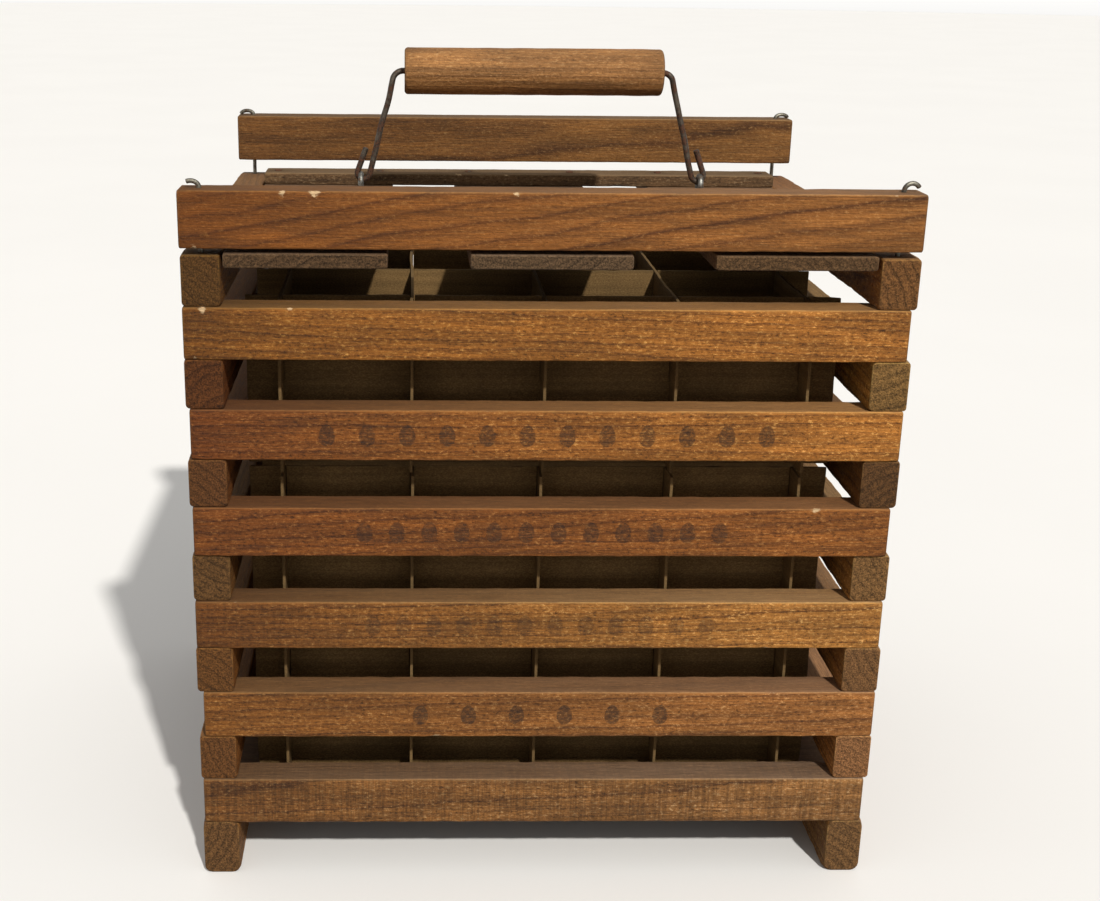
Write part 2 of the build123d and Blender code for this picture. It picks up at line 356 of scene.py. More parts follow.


# Colours in 0-255 screen values.
# The grey-tan for upper faces stands for dust and a painted sheen of sky light.
WOODS = {
    "slat_wood": {
        "early": (146, 94, 44), "late": (70, 36, 14), "pale": (196, 148, 92),
        "dust_and_sheen_colour": (128, 98, 70), "end": (108, 74, 44), "dust_and_sheen_share": 0.85, "marked": True,
    },
    "lid_wood": {
        "early": (122, 90, 62), "late": (78, 54, 34), "pale": (172, 142, 110),
        "dust_and_sheen_colour": (128, 102, 78), "end": (100, 76, 52), "dust_and_sheen_share": 0.8, "gloss": 0.68,
    },
    "grip_wood": {
        "early": (156, 108, 62), "late": (100, 62, 32), "pale": (204, 160, 110),
        "dust_and_sheen_colour": (176, 130, 78), "end": (110, 76, 44), "dust_and_sheen_share": 0.0, "gloss": 0.42,
    },
}
# Bare metal, oxide and rust colours, the share of rust, and the roughness.
METALS = {
    "galvanised_wire": ((138, 134, 122), (84, 80, 72), (92, 66, 46), 0.02, 0.42),
    "eye_steel": ((160, 160, 154), (110, 108, 102), (98, 72, 50), 0.02, 0.4),
    "bail_steel": ((104, 96, 86), (58, 50, 44), (84, 54, 36), 0.09, 0.45),
    "nail_steel": ((92, 82, 72), (50, 42, 36), (92, 54, 32), 0.14, 0.55),
}
MATERIALS = {name: wood(name, **looks) for name, looks in WOODS.items()}
MATERIALS |= {name: metal(name, *looks) for name, looks in METALS.items()}
MATERIALS["filler_board"] = cardboard()


# ---- mesh helpers
def box_mm(node):
    low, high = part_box(node)
    return np.array(low) / MM, np.array(high) / MM


def wave(rng, size, longest):
    """A smooth random undulation of a position in mm, about -size to size."""
    lengths = longest / rng.uniform(1.0, 5.0, 4)
    phases = rng.uniform(0, TAU, 4)
    return lambda u: size * sum(np.sin(TAU * np.asarray(u) / n + f) for n, f in zip(lengths, phases)) / 4


def add_object(name, data):
    made = bpy.data.objects.new(name, data)
    bpy.context.scene.collection.objects.link(made)
    return made


def new_object(name, points, faces):
    """A mesh object from points in mm, with outward normals, smooth but for its sharp edges."""
    mesh = bpy.data.meshes.new(name)
    mesh.from_pydata((np.asarray(points) * MM).tolist(), [], faces)
    tidy_mesh(mesh)
    return add_object(name, mesh)


SHARP_DEG = 38


def tidy_mesh(mesh):
    work = bmesh.new()
    work.from_mesh(mesh)
    bmesh.ops.recalc_face_normals(work, faces=work.faces)
    work.to_mesh(mesh)
    work.free()
    mesh.polygons.foreach_set("use_smooth", [True] * len(mesh.polygons))
    mesh.set_sharp_from_angle(angle=math.radians(SHARP_DEG))


def join_parts(parts):
    """One list of points and one of faces from several (points, faces)."""
    points, faces = [], []
    for part_points, part_faces in parts:
        start = sum(len(p) for p in points)
        points.append(np.asarray(part_points, float))
        faces += [tuple(i + start for i in f) for f in part_faces]
    return np.concatenate(points), faces


def loft(rings, tip_start, tip_end):
    """Skin over rings of equal point count, closed by a fan to a tip at each end."""
    count, around = rings.shape[:2]
    points = np.concatenate([rings.reshape(-1, 3), [tip_start, tip_end]])
    faces = []
    for i in range(count - 1):
        for j in range(around):
            k = (j + 1) % around
            faces.append((i * around + j, i * around + k, (i + 1) * around + k, (i + 1) * around + j))
    last = (count - 1) * around
    for j in range(around):
        k = (j + 1) % around
        faces.append((k, j, count * around))
        faces.append((last + j, last + k, count * around + 1))
    return points, faces


def carve(piece, cutters):
    """Cut (points, faces) solids, in mm, out of a piece."""
    tool = new_object("cutter", *join_parts(cutters))
    modifier = piece.modifiers.new("carve", "BOOLEAN")
    modifier.object = tool
    modifier.solver = "EXACT"
    graph = bpy.context.evaluated_depsgraph_get()
    carved = bpy.data.meshes.new_from_object(piece.evaluated_get(graph))
    piece.modifiers.clear()
    old = piece.data
    piece.data = carved
    carved.name = piece.name
    bpy.data.meshes.remove(old)
    tool_mesh = tool.data
    bpy.data.objects.remove(tool)
    bpy.data.meshes.remove(tool_mesh)
    tidy_mesh(carved)


def points_of(piece):
    flat = np.zeros(len(piece.data.vertices) * 3, np.float32)
    piece.data.vertices.foreach_get("co", flat)
    return flat.reshape(-1, 3).astype(float) / MM


def store(piece, name, values):
    """A point attribute: vectors from an (n, 3) array, numbers from an (n,) array."""
    kind, key = ("FLOAT_VECTOR", "vector") if values.ndim == 2 else ("FLOAT", "value")
    made = piece.data.attributes.new(name, kind, "POINT")
    made.data.foreach_set(key, values.astype(np.float32).ravel())


def stand_in(piece, *nodes):
    """The piece takes the nodes' place: their body, their material slot, their looks."""
    slot = NODE_SLOT[nodes[0]]
    piece.data.materials.clear()
    piece.data.materials.append(MATERIALS[slot])
    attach(piece, NODE_BODY[nodes[0]])
    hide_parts(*nodes)


# ---- worn wooden bars
CORNERS = ((1, 1), (-1, 1), (-1, -1), (1, -1))
CORNER_STEPS = 4
SIDE_STEPS = 6
STATION = 2.0                 # mm between sections along a bar
END_EASE = 0.7
END_WEAR_REACH = 3.0          # how far in from an end the corners are softer
NICK_SPREAD = 2.2             # bare wood round a nick, in depths of the nick
LEAST_CORNER = 0.35
CAP_SHARES = (0.84, 0.6, 0.32)
END_ROUGHNESS = 0.09
HOLE_R = 1.3                  # loose round the 1 mm rods


def rounded_sections(half_a, half_b, radii):
    """Rounded rectangles, one per station, as (station, point, 2)."""
    arcs = []
    for k, (side_a, side_b) in enumerate(CORNERS):
        r = radii[:, k, None]
        angle = (k + np.linspace(0, 1, CORNER_STEPS + 1)) * TAU / 4
        a = side_a * (half_a[:, None] - r) + r * np.cos(angle)
        b = side_b * (half_b[:, None] - r) + r * np.sin(angle)
        arcs.append(np.stack([a, b], axis=-1))
    sections = []
    share = np.linspace(0, 1, SIDE_STEPS + 1)[1:-1][None, :, None]
    for k, arc in enumerate(arcs):
        following = arcs[(k + 1) % 4]
        sections += [arc, arc[:, -1:] * (1 - share) + following[:, :1] * share]
    return np.concatenate(sections, axis=1)


def bar_rings(rng, half, corner, nicks, soft_ends):
    """Sections of a worn bar along its length, with eased ends and capped by shrinking rings."""
    half_u, half_a, half_b = half
    inner = np.linspace(-half_u + END_EASE, half_u - END_EASE, max(8, int(2 * half_u / STATION)))
    turn = np.linspace(0, TAU / 4, 4)[:-1]
    ease_u = half_u - END_EASE * (1 - np.cos(turn))
    ease_pull = END_EASE * (1 - np.sin(turn))
    u = np.concatenate([-ease_u, inner, ease_u[::-1]])
    pull = np.concatenate([ease_pull, np.zeros(len(inner)), ease_pull[::-1]])
    thin_a = np.abs(wave(rng, 0.16, 160)(u)) + np.abs(wave(rng, 0.08, 30)(u))
    thin_b = np.abs(wave(rng, 0.12, 150)(u)) + np.abs(wave(rng, 0.05, 26)(u))
    radii = np.stack([corner + wave(rng, 0.35, 60)(u) + wave(rng, 0.2, 12)(u) for _ in range(4)], axis=1)
    to_end = half_u - np.abs(u)
    radii += soft_ends * np.exp(-((to_end / END_WEAR_REACH) ** 2))[:, None]
    for place, k, depth, reach in nicks:
        radii[:, k] += depth * np.exp(-(((u - place) / reach) ** 2))
    radii = np.clip(radii, LEAST_CORNER, min(half_a, half_b) * 0.6)
    sections = rounded_sections(half_a - thin_a - pull, half_b - thin_b - pull, radii)
    return u, sections


def bar_mesh(rng, half, corner, nicks, soft_ends):
    """Local (u, a, b) points and faces of a worn bar."""
    u, sections = bar_rings(rng, half, corner, nicks, soft_ends)
    rings = np.concatenate([np.broadcast_to(u[:, None, None], (*sections.shape[:2], 1)), sections], axis=2)
    caps = []
    for end, side in ((0, -1), (-1, 1)):
        inward = []
        for share in CAP_SHARES:
            ring = rings[end].copy()
            ring[:, 1:] *= share
            ring[:, 0] -= side * np.abs(rng.normal(0, END_ROUGHNESS, len(ring)))
            inward.append(ring)
        caps.append(np.array(inward))
    rings = np.concatenate([caps[0][::-1], rings, caps[1]])
    return loft(rings, (u[0] + 0.1, 0, 0), (u[-1] - 0.1, 0, 0))


def cylinder(centre, radius, low, high, sides=20):
    """A plain upright cutter."""
    angle = np.arange(sides) / sides * TAU
    ring = np.stack([centre[0] + radius * np.cos(angle), centre[1] + radius * np.sin(angle)], axis=1)
    rings = np.array([np.c_[ring, np.full(sides, z)] for z in (low, high)])
    return loft(rings, (*centre, low), (*centre, high))


def block(low, high):
    """A plain box cutter."""
    corners = [(x, y, z) for x in (low[0], high[0]) for y in (low[1], high[1]) for z in (low[2], high[2])]
    faces = [(0, 1, 3, 2), (4, 6, 7, 5), (0, 4, 5, 1), (2, 3, 7, 6), (0, 2, 6, 4), (1, 5, 7, 3)]
    return np.array(corners), faces


def to_frame(local, along, centre):
    """Local (u, a, b) to frame X, Y, Z."""
    u, a, b = np.asarray(local).T
    moved = np.stack([u, a, b] if along == "X" else [a, u, b], axis=1)
    return moved + centre


def to_local(points, along, centre):
    """Frame X, Y, Z to local (u, a, b)."""
    x, y, z = (points - centre).T
    return np.stack([x, y, z] if along == "X" else [y, x, z], axis=1)


def bare_wood(local, half, nicks):
    """How far each point lies in a nick, 0 to 1."""
    u, a, b = local.T
    bare = np.zeros(len(u))
    for place, k, depth, reach in nicks:
        side_a, side_b = CORNERS[k]
        along = (u - place) ** 2 / reach**2
        from_corner = (a - side_a * half[1]) ** 2 + (b - side_b * half[2]) ** 2
        spread = NICK_SPREAD * depth
        bare = np.maximum(bare, min(1.0, depth) * np.exp(-along - from_corner / spread**2))
    return bare


def dress_wood(piece, rng, local, half, pith, tilt, ring, tints, stains, nicks, mark, sawn=0.0, fuzz=1.0):
    """What the wood material reads: the place in the log, in the bar, and the bar's colour, with painted
    light in the end tints of the front bars, back rail and side bars.
    """
    u, a, b = local.T
    p = (a - pith[0] - tilt[0] * u) / ring
    q = (b - pith[1] - tilt[1] * u) / ring
    store(piece, "grain", np.stack([u + rng.uniform(400, 4000), p, q], axis=1))
    store(piece, "place", local)
    store(piece, "depths", np.array(half) - np.abs(local))
    # The colour runs from the first end's tint to the second's; on the front bars, back rail and side bars
    # this is partly painted light from the right.
    share = np.clip(u / half[0] / 2 + 0.5, 0, 1)[:, None]
    tint = np.array(tints[0]) * (1 - share) + np.array(tints[1]) * share
    for at, across, reach, depth in stains:
        spot = np.exp(-((u - at) ** 2 + (a - across) ** 2) / reach**2)
        tint = tint * (1 - depth * spot)[:, None]
    store(piece, "tint", tint)
    store(piece, "chip", bare_wood(local, half, nicks))
    store(piece, "sawn", np.full(len(u), sawn))
    store(piece, "fuzz", np.full(len(u), fuzz))
    store(piece, "mark", np.tile(np.array(mark, float), (len(u), 1)))


def random_nicks(rng, half_u, count):
    def nick():
        place, corner = rng.uniform(-half_u, half_u), int(rng.integers(0, 4))
        return place, corner, rng.uniform(0.3, 0.8), rng.uniform(1.2, 3.5)

    return [nick() for _ in range(count)]


def random_log(rng):
    """Where the pith runs beside a bar, its tilt, and the ring width."""
    angle = rng.uniform(0, TAU)
    away = rng.uniform(26, 70)
    pith = (away * math.cos(angle), away * math.sin(angle))
    tilt = (rng.normal(0, 0.03), rng.normal(0, 0.03))
    return {"pith": pith, "tilt": tilt, "ring": rng.uniform(2.6, 4.6)}


def wooden_bar(node, seed, along="X", short=(0.0, 0.0), holes=(), cutters=(), corner=0.8, soft_ends=0.5,
               nick_count=5, nicks=(), log=None, tints=((1, 1, 1), (1, 1, 1)), stains=(), mark=(0, 0, 0)):
    """A worn bar in the place of a CAD node, cut short at either end and drilled at (x, y) holes."""
    rng = np.random.default_rng(seed)
    low, high = box_mm(node)
    axis = 0 if along == "X" else 1
    low[axis] += short[0]
    high[axis] -= short[1]
    centre = (low + high) / 2
    half = (high - low) / 2
    half = half if along == "X" else half[[1, 0, 2]]
    nicks = list(nicks) + random_nicks(rng, half[0], nick_count)
    local, faces = bar_mesh(rng, half, corner, nicks, soft_ends)
    piece = new_object("visual_" + node, to_frame(local, along, centre), faces)
    drills = [cylinder(spot, HOLE_R, low[2] - 1, high[2] + 1) for spot in holes]
    if drills or cutters:
        carve(piece, drills + list(cutters))
    local = to_local(points_of(piece), along, centre)
    log = log or random_log(rng)
    dress_wood(piece, rng, local, half, **log, tints=tints, stains=stains, nicks=nicks, mark=mark)
    stand_in(piece, node)


# ---- the crate's slats
RODS = {
    (end, side): f"{end}_{side}_rod" for end in ("front", "back") for side in ("left", "right")
}
ROD_R = 1.0


def rod_centre(end, side):
    """Where a rod stands, from its box: its hook points outwards and its foot inwards."""
    low, high = box_mm(RODS[end, side])
    x = high[0] - ROD_R if side == "left" else low[0] + ROD_R
    y = low[1] + ROD_R if end == "front" else high[1] - ROD_R
    return float(x), float(y)


def rod_spots(*, end=None, side=None):
    return [rod_centre(e, s) for e, s in RODS if end in (None, e) and side in (None, s)]


# The front bars from the top down. short is what is missing at the left and right ends; tints colour
# those ends beside the material's own, in tone and in painted light, the left ends darker and the right
# ends lighter as though lit from the right; nicks are (place along the bar, corner, depth, reach), where
# corner 1 is the front top edge and 2 the front bottom; stains are (place along the bar, across it,
# reach, depth); mark is (pitch of the egg shapes, half the row's length, strength of the ink).
FRONT_BARS = {
    "front_top_rail": {
        "short": (0.0, 0.2),
        "tints": ((0.78, 0.62, 0.38), (1.34, 1.34, 1.34)),
        "log": {"pith": (10, -62), "tilt": (0.01, 0.17), "ring": 7.6, "fuzz": 0.5},
        "nicks": ((-110, 1, 1.0, 1.5), (-97, 1, 1.1, 2.8), (-15, 1, 0.8, 2.0), (-146, 2, 0.8, 2.0)),
        "stains": ((150, 0, 22, 0.22), (-150, 0, 26, 0.15)),
    },
    "front_slat_6": {
        "short": (0.3, 2.2),
        "tints": ((0.86, 0.78, 0.48), (1.66, 1.60, 1.24)),
        "log": {"pith": (-6, -46), "tilt": (0.02, -0.035), "ring": 3.9},
        "nicks": ((-143, 1, 1.5, 1.6), (-147, 2, 0.9, 1.3)),
        "stains": ((149, 4, 12, 0.45), (-150, 0, 34, 0.22)),
    },
    "front_slat_5": {
        "short": (1.6, 1.2),
        "tints": ((0.62, 0.44, 0.32), (1.72, 1.68, 1.30)),
        "log": {"pith": (12, -38), "tilt": (0.03, 0.02), "ring": 3.4},
        "stains": ((-130, 0, 60, 0.1),),
        "mark": (17.0, 102.0, 0.66),
    },
    "front_slat_4": {
        "short": (1.2, 2.4),
        "tints": ((0.62, 0.47, 0.34), (1.22, 1.06, 0.86)),
        "log": {"pith": (-30, 30), "tilt": (-0.04, 0.03), "ring": 3.8},
        "nicks": ((118, 1, 0.8, 3.0),),
        "stains": ((150, 0, 18, 0.3), (40, 0, 40, 0.12)),
        "mark": (14.0, 84.0, 0.6),
    },
    "front_slat_3": {
        "short": (0.6, 1.4),
        "tints": ((0.56, 0.48, 0.36), (1.72, 1.85, 1.70)),
        "log": {"pith": (22, 40), "tilt": (0.05, -0.015), "ring": 3.0, "sawn": 0.35},
        "mark": (13.4, 80.4, 0.42),
    },
    "front_slat_2": {
        "short": (2.6, 0.6),
        "tints": ((0.76, 0.71, 0.56), (1.32, 1.32, 1.45)),
        "log": {"pith": (-14, -52), "tilt": (0.03, 0.028), "ring": 4.2},
        "mark": (21.6, 64.8, 0.7),
    },
    "front_slat_1": {
        "short": (1.0, 1.8),
        "tints": ((0.65, 0.65, 0.64), (1.12, 1.30, 1.70)),
        "log": {"pith": (40, 20), "tilt": (0.02, 0.02), "ring": 2.6, "sawn": 1.0},
        "stains": ((132, 6, 14, 0.2), (104, 4, 12, 0.14)),
    },
}
# The back rail's end colours: tone, and painted light that makes its right end lighter.
BACK_RAIL_TONE_AND_LIGHT = ((0.62, 0.64, 0.62), (0.80, 0.88, 0.92))
BACK_RAIL_LOG = {"pith": (60, 18), "tilt": (0.02, 0.03), "ring": 5.2, "fuzz": 0.6}
LAYERS = 6


# Colour of the front ends of the side bars from the foot rail up, beside their own: tone, and painted
# light that makes the right-hand ends much lighter than the left.
SIDE_END_TONE_AND_LIGHT = {
    "left": (
        (1.20, 1.26, 1.24), (1.08, 1.04, 0.80), (0.90, 0.84, 0.66), (1.02, 1.10, 0.98),
        (0.80, 0.76, 0.58), (0.82, 0.62, 0.44), (0.78, 0.78, 0.54),
    ),
    "right": (
        (1.28, 1.40, 1.44), (1.95, 2.15, 2.30), (1.60, 1.78, 1.90), (1.36, 1.48, 1.48),
        (0.90, 0.98, 0.92), (1.75, 2.00, 1.90), (1.30, 1.40, 1.28),
    ),
}


def random_tints(rng, spread=0.1):
    """Two colours near one another for the ends of a plain bar."""
    base = np.array([0.92, 0.88, 0.82]) * rng.uniform(0.85, 1.12) * rng.normal(1, 0.03, 3)
    return base * rng.uniform(1 - spread, 1 + spread), base * rng.uniform(1 - spread, 1 + spread)


def front_and_back():
    for i, (node, looks) in enumerate(FRONT_BARS.items()):
        wooden_bar(node, 10 + i, holes=rod_spots(end="front"), **looks)
    holes = rod_spots(end="back")
    wooden_bar("back_top_rail", 50, short=(0.2, 0.3), holes=holes, tints=BACK_RAIL_TONE_AND_LIGHT, log=BACK_RAIL_LOG)
    for i in range(1, LAYERS + 1):
        rng = np.random.default_rng(40 + i)
        short = tuple(rng.uniform(0.2, 3.0, 2))
        wooden_bar(f"back_slat_{LAYERS + 1 - i}", 50 + i, short=short, holes=holes, tints=random_tints(rng))


POCKET_HALF_WIDTH = 1.8
POCKET_LENGTH = 11.2          # inwards from the rod
POCKET_DEPTH = 3.4
UNDER = 1.0                   # cutters start this far below the floor


def foot_pockets(side):
    """The hollow under each end of a foot rail that takes the turned-in rod."""
    cutters = []
    for end, inward in (("front", 1), ("back", -1)):
        x, y = rod_centre(end, side)
        near, far = sorted((y - inward * POCKET_HALF_WIDTH, y + inward * POCKET_LENGTH))
        left, right = x - POCKET_HALF_WIDTH, x + POCKET_HALF_WIDTH
        cutters.append(block((left, near, -UNDER), (right, far, POCKET_DEPTH)))
    return cutters


def sides():
    for i, side in enumerate(("left", "right")):
        # Front-end tints: tone, and painted light that makes the right side's ends much lighter.
        ends = SIDE_END_TONE_AND_LIGHT[side]
        for layer in range(1, LAYERS + 1):
            rng = np.random.default_rng(80 + 10 * i + layer)
            front, back = random_tints(rng)
            wooden_bar(
                f"{side}_slat_{layer}", 100 + 10 * i + layer, along="Y",
                short=tuple(rng.uniform(0.0, 1.0, 2)), holes=rod_spots(side=side),
                tints=(front * ends[layer], back), soft_ends=0.8,
            )
        front, back = random_tints(rng)
        wooden_bar(
            f"{side}_foot_rail", 130 + i, along="Y", short=(0.2, 0.3), holes=rod_spots(side=side),
            cutters=foot_pockets(side), tints=(front * ends[0], back),
            corner=1.1, soft_ends=2.6, nick_count=12,
        )


# ---- boards and nails
LID_TINTS = {
    "lid_board_left": ((0.84, 0.82, 0.80), (0.80, 0.78, 0.76)),
    "lid_board_middle": ((0.98, 1.02, 1.08), (1.0, 1.04, 1.1)),
    "lid_board_right": ((0.98, 0.93, 0.84), (0.95, 0.90, 0.82)),
}


def thin_board(node, seed, **looks):
    wooden_bar(node, seed, corner=0.7, **looks)


def boards():
    """The lid's boards and cleats, rusty round their nails, and the bottom boards."""
    for i, (node, tints) in enumerate(LID_TINTS.items()):
        stains = [(y, dx, 5.0, 0.25) for y in lid_nail_rows() for dx in (-LID_NAIL_OFFSET, LID_NAIL_OFFSET)]
        thin_board(node, 200 + i, along="Y", short=(0.3 * i, 0.4), tints=tints, nick_count=8, stains=stains)
    for i, place in enumerate(("front", "middle", "back")):
        tints = random_tints(np.random.default_rng(210 + i))
        stains = [(x, 0.0, 4.5, 0.4) for x in lid_nail_columns()]
        thin_board(f"lid_cleat_{place}", 220 + i, short=(0.5, 0.6), tints=tints, nick_count=6, stains=stains)
    for i, place in enumerate(("front", "middle", "back")):
        tints = random_tints(np.random.default_rng(230 + i))
        thin_board(f"bottom_board_{place}", 240 + i, short=(0.4, 0.6), tints=tints, nick_count=8)


LID_NAIL_OFFSET = 27.0        # either side of a board's middle
BOTTOM_NAIL_OFFSET = 20.0
LID_NAIL_LENGTH = 11.4
BOTTOM_NAIL_LENGTH = 24.0
NAIL_SIDES = 20
# Half outlines as (radius, height over the wood's face).
NAIL_HEAD = [(2.0, -0.45), (2.06, -0.2), (1.9, 0.02), (1.3, 0.14), (0.6, 0.19)]
NAIL_NECK = [(0.8, -0.9), (1.0, -0.5)]


def middle(node, axis):
    low, high = box_mm(node)
    return float(low[axis] + high[axis]) / 2


def lid_nail_columns():
    boards_x = [middle(f"lid_board_{side}", 0) for side in ("left", "middle", "right")]
    return [x + d for x in boards_x for d in (-LID_NAIL_OFFSET, LID_NAIL_OFFSET)]


def lid_nail_rows():
    return [middle(f"lid_cleat_{place}", 1) for place in ("front", "middle", "back")]


def nail(rng, x, y, top, length):
    """A driven nail: low domed head a little proud, shank and point."""
    proud = rng.uniform(0.15, 0.35)
    outline = [(0.34, -length), (0.8, -length + 2.0)] + NAIL_NECK + NAIL_HEAD
    angle = np.arange(NAIL_SIDES) / NAIL_SIDES * TAU
    dent = 1 + 0.04 * np.sin(2 * angle + rng.uniform(0, TAU))
    rings = []
    for r, z in outline:
        height = np.full(NAIL_SIDES, top + proud + z)
        rings.append(np.stack([x + r * dent * np.cos(angle), y + r * dent * np.sin(angle), height], axis=1))
    return loft(np.array(rings), (x, y, top + proud - length - 0.4), (x, y, top + proud + 0.2))


def nails():
    rng = np.random.default_rng(300)
    top = box_mm("lid_cleat_middle")[1][2]
    lid = [nail(rng, x, y, top, LID_NAIL_LENGTH) for x in lid_nail_columns() for y in lid_nail_rows()]
    stand_in(new_object("visual_lid_nails", *join_parts(lid)), "lid_nails")
    top = box_mm("bottom_board_middle")[1][2]
    bottom = []
    for side in ("left", "right"):
        x = middle(f"{side}_foot_rail", 0)
        for place in ("front", "middle", "back"):
            y = middle(f"bottom_board_{place}", 1)
            for offset in (-BOTTOM_NAIL_OFFSET, BOTTOM_NAIL_OFFSET):
                bottom.append(nail(rng, x, y + offset, top, BOTTOM_NAIL_LENGTH))
    stand_in(new_object("visual_bottom_nails", *join_parts(bottom)), "bottom_nails")


# ---- wires and grip
def rounded_path(corners, radii, spacing, steps=9):
    """Points along a polyline with its inner corners rounded."""
    corners = [np.array(c, float) for c in corners]
    path = [corners[0]]
    for before, corner, after, r in zip(corners, corners[1:], corners[2:], radii):
        come = (corner - before) / np.linalg.norm(corner - before)
        go = (after - corner) / np.linalg.norm(after - corner)
        angle = math.acos(float(np.clip(come @ go, -1, 1)))
        cut = r * math.tan(angle / 2)
        towards = go - come
        centre = corner + towards / np.linalg.norm(towards) * (r / math.cos(angle / 2))
        start, end = corner - come * cut - centre, corner + go * cut - centre
        extend_straight(path, corner - come * cut, spacing)
        for share in np.linspace(0, 1, steps)[1:]:
            swung = start * math.sin((1 - share) * angle) + end * math.sin(share * angle)
            path.append(centre + swung / math.sin(angle))
    extend_straight(path, corners[-1], spacing)
    return np.array(path)


def extend_straight(path, goal, spacing):
    gap = np.linalg.norm(goal - path[-1])
    start = path[-1]
    for share in np.linspace(0, 1, max(2, int(gap / spacing) + 1))[1:]:
        path.append(start * (1 - share) + goal * share)


def tube(path, radius, sides=16):
    """A round wire along a path, its ends nipped off."""
    heading = np.gradient(path, axis=0)
    heading /= np.linalg.norm(heading, axis=1)[:, None]
    side = np.cross(heading[0], (0.3, 0.5, 0.8))
    angle = np.arange(sides) / sides * TAU
    rings = []
    for at, along in zip(path, heading):
        side = side - along * (side @ along)
        side /= np.linalg.norm(side)
        other = np.cross(along, side)
        rings.append(at + radius * (np.outer(np.cos(angle), side) + np.outer(np.sin(angle), other)))
    for end, beside in ((0, 1), (-1, -2)):
        nipped = rings[end] * 0.72 + path[end] * 0.28
        rings[end] = rings[end] * 0.985 + path[end] * 0.015
        out = heading[end] * (0.18 * radius) * (1 if end else -1)
        rings.insert(0 if end == 0 else len(rings), nipped + out)
    tip = 0.22 * radius
    return loft(np.array(rings), path[0] - heading[0] * tip, path[-1] + heading[-1] * tip)


def hand_bent(path, rng, size, keep):
    """Small bends left by the hand in straight wire; keep(points) gives where it stays true, 0 to 1."""
    run = np.concatenate([[0], np.cumsum(np.linalg.norm(np.diff(path, axis=0), axis=1))])
    loose = np.clip(np.minimum(run, run[-1] - run) / 12, 0, 1)
    loose = loose * (1 - keep(path))
    bends = np.stack([wave(rng, size, 90)(run) for _ in range(3)], axis=1)
    return path + bends * loose[:, None]


# How far each hook is bent over, and how flat it was beaten.
HOOK_BENDS = {
    ("front", "left"): (116, 0.78), ("front", "right"): (150, 0.98),
    ("back", "left"): (172, 0.56), ("back", "right"): (172, 0.54),
}


FOOT_BEND_R = 2.2
HOOK_STEPS = 14
HOOK_SET = 0.1                # hooks beaten down by this much


def rods():
    for i, ((end, side), node) in enumerate(RODS.items()):
        rng = np.random.default_rng(400 + i)
        low, high = box_mm(node)
        x, y = rod_centre(end, side)
        out = -1 if side == "left" else 1
        inward = 1 if end == "front" else -1
        hook = (high[0] - low[0]) / 2 - ROD_R
        top = high[2] - ROD_R - hook
        foot = (high[1] - low[1]) - 2 * ROD_R
        floor_z = low[2] + ROD_R
        corners = [(x, y + inward * foot, floor_z), (x, y, floor_z), (x, y, top)]
        path = rounded_path(corners, [FOOT_BEND_R], spacing=9.0)
        sweep_deg, flatness = HOOK_BENDS[end, side]
        turn = np.radians(np.linspace(0, sweep_deg, HOOK_STEPS + 1))[1:]
        twist = rng.uniform(-0.25, 0.25)
        arc = np.stack([
            x + out * hook * (1 - np.cos(turn)),
            y + inward * hook * twist * (1 - np.cos(turn)),
            top + hook * flatness * np.sin(turn) - HOOK_SET,
        ], axis=1)
        piece = new_object("visual_" + node, *tube(np.concatenate([path, arc]), ROD_R))
        stand_in(piece, node)


EYE_R = 3.9                   # ring centre line
EYE_WIRE_R = 1.3
EYE_STEPS = 34
EYE_OPEN_DEG = (-62, 262)     # where the ring starts and ends


def screw_eyes():
    for side in ("left", "right"):
        node = f"{side}_screw_eye"
        low, high = box_mm(node)
        x = (low[0] + high[0]) / 2
        centre_z = high[2] - EYE_WIRE_R - EYE_R
        turn = np.radians(np.linspace(*EYE_OPEN_DEG, EYE_STEPS))
        height = centre_z + EYE_R * np.sin(turn)
        ring = np.stack([np.full(EYE_STEPS, x), EYE_R * np.cos(turn), height], axis=1)
        shank = [(x, 0.0, z) for z in np.linspace(low[2], centre_z - EYE_R - 1.0, 8)]
        bend = [(x, 0.28, centre_z - EYE_R - 0.35), (x, 0.95, centre_z - EYE_R + 0.08)]
        path = np.array(shank + bend + ring.tolist())
        stand_in(new_object("visual_" + node, *tube(path, EYE_WIRE_R)), node)


WIRE_R = 1.4
SHOULDER_R = 5.0
SHOULDER_X = 65.4
HOOK_INNER_X = 78.4
HOOK_RADII = (3.2, 4.0)
HOOK_TIP = (79.4, 318.0)


def bail():
    low, high = box_mm("bail_wire")
    top = high[2] - WIRE_R
    axis_z = low[2] + WIRE_R
    hook_outer = high[0] - WIRE_R
    grip_end = box_mm("grip")[1][0]
    half = [HOOK_TIP, (hook_outer, axis_z), (HOOK_INNER_X, axis_z), (SHOULDER_X, top)]
    corners = [(-x, 0, z) for x, z in half] + [(x, 0, z) for x, z in half[::-1]]
    radii = [*HOOK_RADII, SHOULDER_R]
    path = rounded_path(corners, radii + radii[::-1], spacing=3.0)

    def held(points):
        in_grip = np.abs(points[:, 0]) < grip_end + 2
        in_hook = points[:, 2] < axis_z + 10
        return np.maximum(in_grip, in_hook).astype(float)

    soft = lambda points: np.convolve(np.pad(held(points), 3, mode="edge"), np.ones(7) / 7, "valid")
    path = hand_bent(path, np.random.default_rng(420), 0.5, soft)
    stand_in(new_object("visual_bail_wire", *tube(path, WIRE_R, 20)), "bail_wire")


GRIP_BORE_R = 1.55
GRIP_EASE = 1.7
GRIP_SIDES = 72
GRIP_SKIN = 8.0               # the ends are flat inside this radius


